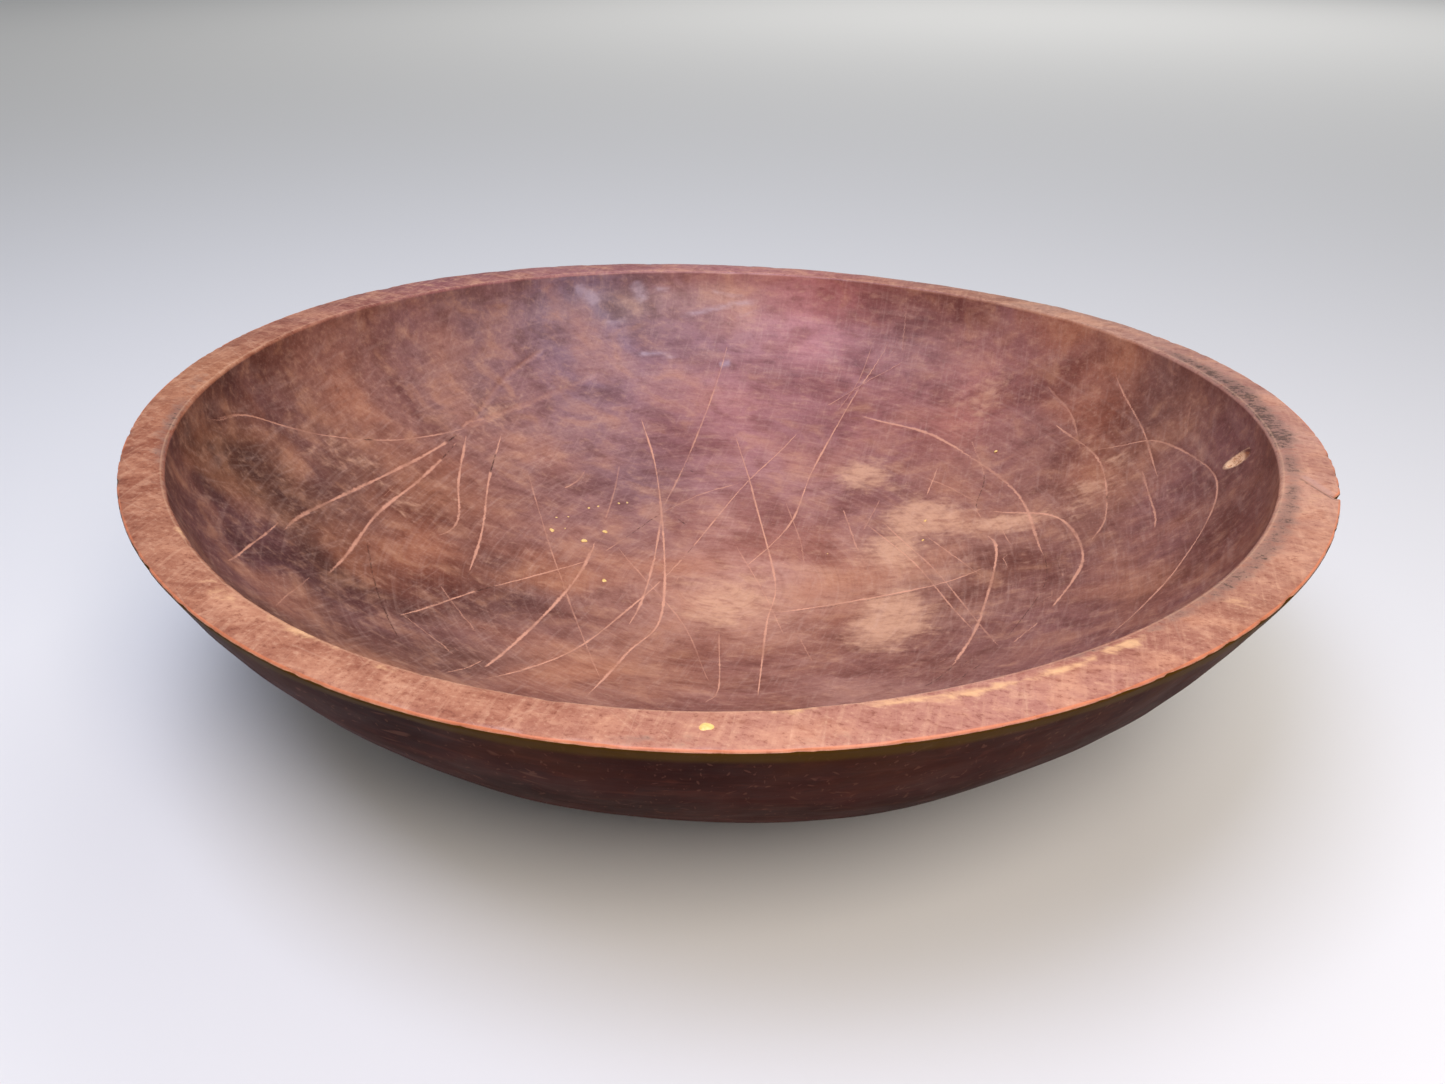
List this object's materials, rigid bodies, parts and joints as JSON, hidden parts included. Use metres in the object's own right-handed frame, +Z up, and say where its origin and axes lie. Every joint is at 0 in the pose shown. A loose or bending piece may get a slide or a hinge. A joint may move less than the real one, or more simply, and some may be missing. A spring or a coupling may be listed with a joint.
{
  "type": "wooden bowl",
  "caption": "Wide, shallow turned wooden bowl with a thick flat rim, slightly oval and warped, with a knife-scarred hollow and a flat foot.",
  "frame": {"origin": "centre of the flat base, on the surface that the bowl stands on", "axes": "+Z up; +X along the grain, which is the long way of the oval rim; +Y across the grain"},
  "size_m": [0.3909, 0.3668, 0.0974],
  "materials": {
    "wood": "stained and worn, satin",
    "dried_drip": "dried, slightly glossy"
  },
  "bodies": {
    "root": {"bowl": "wood", "rim_drip": "dried_drip", "inside_flecks": "dried_drip"}
  },
  "joints": []
}
